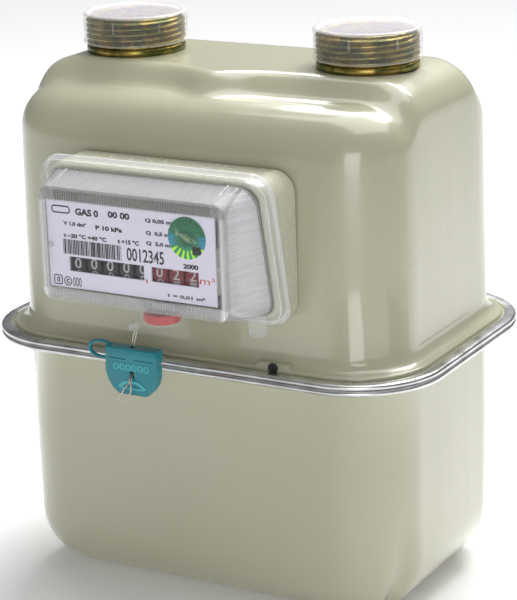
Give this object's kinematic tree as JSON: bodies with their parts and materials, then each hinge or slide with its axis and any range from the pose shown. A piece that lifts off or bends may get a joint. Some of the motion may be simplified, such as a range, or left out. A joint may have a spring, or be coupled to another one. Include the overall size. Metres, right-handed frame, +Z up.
{
  "type": "gas meter",
  "caption": "Domestic diaphragm gas meter: two-piece pressed steel case with clamp band, twin capped top spigots, drum index under a clear cover and a wired seal tag.",
  "frame": {"origin": "middle of the case's flat underside", "axes": "+Z up along the spigots, +X from the inlet spigot towards the outlet spigot, -Y to the front, where the index is"},
  "size_m": [0.205, 0.1669, 0.2392],
  "materials": {
    "case_paint": "gloss powder coat",
    "band_steel": "rolled bright steel",
    "gasket_rubber": "matt",
    "zinc_steel": "yellow passivated zinc",
    "cap_plastic": "milky translucent",
    "black_plastic": "moulded",
    "index_cream": "moulded, satin",
    "clear_plastic": "polished, fluted sides",
    "label_plate": "printed",
    "natural_plastic": "moulded",
    "foil_sticker": "holographic foil",
    "plain_steel": "drawn",
    "drum_black": "moulded, printed figures",
    "drum_red": "moulded, printed figures",
    "seal_red": "moulded",
    "seal_teal": "moulded",
    "seal_wire": "twisted fine wire",
    "grey_plastic": "moulded",
    "diaphragm_cloth": "rubberised cloth",
    "disc_aluminium": "pressed",
    "bearing_brass": "turned"
  },
  "bodies": {
    "meter": {"upper_case": "case_paint", "lower_case": "case_paint", "clamp_band": "band_steel", "case_gasket": "gasket_rubber", "inlet_spigot": "zinc_steel", "outlet_spigot": "zinc_steel", "flange_plug": "black_plastic", "index_base": "index_cream", "index_cover": "clear_plastic", "index_plate": "label_plate", "index_chassis": "natural_plastic", "verification_sticker": "foil_sticker", "drum_shaft": "plain_steel", "pinion_shaft": "plain_steel", "cover_screw": "plain_steel", "seal_plug": "seal_red", "measuring_body": "grey_plastic", "front_chamber_cover": "grey_plastic", "rear_chamber_cover": "grey_plastic", "front_diaphragm": "diaphragm_cloth", "rear_diaphragm": "diaphragm_cloth", "valve_seat": "black_plastic", "crank_bridge": "grey_plastic", "outlet_duct": "grey_plastic", "drive_bush": "bearing_brass"},
    "inlet_cap": {"inlet_cap": "cap_plastic"},
    "outlet_cap": {"outlet_cap": "cap_plastic"},
    "seal": {"seal_tag": "seal_teal", "seal_wire_left": "seal_wire", "seal_wire_right": "seal_wire"},
    "crank": {"crankshaft": "bearing_brass", "rotary_valve": "natural_plastic"},
    "index_drive": {"worm_wheel": "natural_plastic", "index_drive_shaft": "plain_steel"},
    "front_flag_arm": {"front_flag": "plain_steel", "front_crank_arm": "plain_steel"},
    "rear_flag_arm": {"rear_flag": "plain_steel", "rear_crank_arm": "plain_steel"},
    "front_link": {"front_link": "plain_steel"},
    "rear_link": {"rear_link": "plain_steel"},
    "front_disc": {"front_diaphragm_disc": "disc_aluminium"},
    "rear_disc": {"rear_diaphragm_disc": "disc_aluminium"},
    "drum_1": {"number_drum_1": "drum_black"},
    "drum_2": {"number_drum_2": "drum_black"},
    "drum_3": {"number_drum_3": "drum_black"},
    "drum_4": {"number_drum_4": "drum_black"},
    "drum_5": {"number_drum_5": "drum_black"},
    "drum_6": {"number_drum_6": "drum_red"},
    "drum_7": {"number_drum_7": "drum_red"},
    "drum_8": {"number_drum_8": "drum_red", "index_drive_gear": "natural_plastic"},
    "pinion_1": {"transfer_pinion_1": "natural_plastic"},
    "pinion_2": {"transfer_pinion_2": "natural_plastic"},
    "pinion_3": {"transfer_pinion_3": "natural_plastic"},
    "pinion_4": {"transfer_pinion_4": "natural_plastic"},
    "pinion_5": {"transfer_pinion_5": "natural_plastic"},
    "pinion_6": {"transfer_pinion_6": "natural_plastic"},
    "pinion_7": {"transfer_pinion_7": "natural_plastic"}
  },
  "joints": [
    {"name": "inlet_cap_pull", "type": "slide", "parent": "meter", "child": "inlet_cap", "axis": [0, 0, 1], "range_m": [0, 0.03]},
    {"name": "outlet_cap_pull", "type": "slide", "parent": "meter", "child": "outlet_cap", "axis": [0, 0, 1], "range_m": [0, 0.03]},
    {"name": "seal_swing", "type": "hinge", "parent": "meter", "child": "seal", "pos_m": [-0.0039, -0.0905, 0.1298], "axis": [-1, 0, 0], "range_deg": [-20, 60]},
    {"name": "crank_spin", "type": "hinge", "parent": "meter", "child": "crank", "pos_m": [0.017, 0, 0.13], "axis": [0, 0, 1], "continuous": true},
    {"name": "index_drive_spin", "type": "hinge", "parent": "meter", "child": "index_drive", "pos_m": [0.0316, 0, 0.14595], "axis": [0, 1, 0], "continuous": true},
    {"name": "drum_1_spin", "type": "hinge", "parent": "meter", "child": "drum_1", "pos_m": [-0.0272, -0.0856, 0.1552], "axis": [1, 0, 0], "continuous": true},
    {"name": "drum_2_spin", "type": "hinge", "parent": "meter", "child": "drum_2", "pos_m": [-0.0197, -0.0856, 0.1552], "axis": [1, 0, 0], "continuous": true},
    {"name": "drum_3_spin", "type": "hinge", "parent": "meter", "child": "drum_3", "pos_m": [-0.0122, -0.0856, 0.1552], "axis": [1, 0, 0], "continuous": true},
    {"name": "drum_4_spin", "type": "hinge", "parent": "meter", "child": "drum_4", "pos_m": [-0.0047, -0.0856, 0.1552], "axis": [1, 0, 0], "continuous": true},
    {"name": "drum_5_spin", "type": "hinge", "parent": "meter", "child": "drum_5", "pos_m": [0.0028, -0.0856, 0.1552], "axis": [1, 0, 0], "continuous": true},
    {"name": "drum_6_spin", "type": "hinge", "parent": "meter", "child": "drum_6", "pos_m": [0.0105, -0.0856, 0.1552], "axis": [1, 0, 0], "continuous": true},
    {"name": "drum_7_spin", "type": "hinge", "parent": "meter", "child": "drum_7", "pos_m": [0.018, -0.0856, 0.1552], "axis": [1, 0, 0], "continuous": true},
    {"name": "drum_8_spin", "type": "hinge", "parent": "meter", "child": "drum_8", "pos_m": [0.0255, -0.0856, 0.1552], "axis": [1, 0, 0], "continuous": true},
    {"name": "pinion_1_spin", "type": "hinge", "parent": "meter", "child": "pinion_1", "pos_m": [-0.02345, -0.07807, 0.16273], "axis": [1, 0, 0], "continuous": true},
    {"name": "pinion_2_spin", "type": "hinge", "parent": "meter", "child": "pinion_2", "pos_m": [-0.01595, -0.07807, 0.16273], "axis": [1, 0, 0], "continuous": true},
    {"name": "pinion_3_spin", "type": "hinge", "parent": "meter", "child": "pinion_3", "pos_m": [-0.00845, -0.07807, 0.16273], "axis": [1, 0, 0], "continuous": true},
    {"name": "pinion_4_spin", "type": "hinge", "parent": "meter", "child": "pinion_4", "pos_m": [-0.00095, -0.07807, 0.16273], "axis": [1, 0, 0], "continuous": true},
    {"name": "pinion_5_spin", "type": "hinge", "parent": "meter", "child": "pinion_5", "pos_m": [0.00665, -0.07807, 0.16273], "axis": [1, 0, 0], "continuous": true},
    {"name": "pinion_6_spin", "type": "hinge", "parent": "meter", "child": "pinion_6", "pos_m": [0.01425, -0.07807, 0.16273], "axis": [1, 0, 0], "continuous": true},
    {"name": "pinion_7_spin", "type": "hinge", "parent": "meter", "child": "pinion_7", "pos_m": [0.02175, -0.07807, 0.16273], "axis": [1, 0, 0], "continuous": true},
    {"name": "front_flag_swing", "type": "hinge", "parent": "meter", "child": "front_flag_arm", "pos_m": [-0.044, -0.011, 0.06], "axis": [0, 0, 1], "range_deg": [-10, 10]},
    {"name": "rear_flag_swing", "type": "hinge", "parent": "meter", "child": "rear_flag_arm", "pos_m": [0.044, 0.011, 0.06], "axis": [0, 0, 1], "range_deg": [-10, 10]},
    {"name": "front_link_turn", "type": "hinge", "parent": "front_flag_arm", "child": "front_link", "pos_m": [-0.044, -0.041, 0.167], "axis": [0, 0, 1], "range_deg": [-10, 10]},
    {"name": "rear_link_turn", "type": "hinge", "parent": "rear_flag_arm", "child": "rear_link", "pos_m": [0.026, 0.035, 0.1693], "axis": [0, 0, 1], "range_deg": [-10, 10]},
    {"name": "front_disc_travel", "type": "slide", "parent": "meter", "child": "front_disc", "axis": [0, 1, 0], "range_m": [-0.0068, 0.0068]},
    {"name": "rear_disc_travel", "type": "slide", "parent": "meter", "child": "rear_disc", "axis": [0, 1, 0], "range_m": [-0.0068, 0.0068]}
  ],
  "couplings": [
    {"joint": "index_drive_spin", "follows": "crank_spin", "ratio": 0.4},
    {"joint": "drum_8_spin", "follows": "crank_spin", "ratio": 0.12},
    {"joint": "drum_7_spin", "follows": "crank_spin", "ratio": 0.012},
    {"joint": "pinion_7_spin", "follows": "crank_spin", "ratio": -0.03},
    {"joint": "drum_6_spin", "follows": "crank_spin", "ratio": 0.0012},
    {"joint": "pinion_6_spin", "follows": "crank_spin", "ratio": -0.003},
    {"joint": "drum_5_spin", "follows": "crank_spin", "ratio": 0.00012},
    {"joint": "pinion_5_spin", "follows": "crank_spin", "ratio": -0.0003},
    {"joint": "drum_4_spin", "follows": "crank_spin", "ratio": 0.000012},
    {"joint": "pinion_4_spin", "follows": "crank_spin", "ratio": -0.00003},
    {"joint": "drum_3_spin", "follows": "crank_spin", "ratio": 0.0000012},
    {"joint": "pinion_3_spin", "follows": "crank_spin", "ratio": -0.000003},
    {"joint": "drum_2_spin", "follows": "crank_spin", "ratio": 0.00000012},
    {"joint": "pinion_2_spin", "follows": "crank_spin", "ratio": -0.0000003},
    {"joint": "drum_1_spin", "follows": "crank_spin", "ratio": 0.000000012},
    {"joint": "pinion_1_spin", "follows": "crank_spin", "ratio": -0.00000003},
    {"joint": "front_link_turn", "follows": "front_flag_swing", "ratio": -1},
    {"joint": "rear_link_turn", "follows": "rear_flag_swing", "ratio": -1},
    {"joint": "front_disc_travel", "follows": "front_flag_swing", "m_per_rad": 0.038},
    {"joint": "rear_disc_travel", "follows": "rear_flag_swing", "m_per_rad": -0.038}
  ]
}
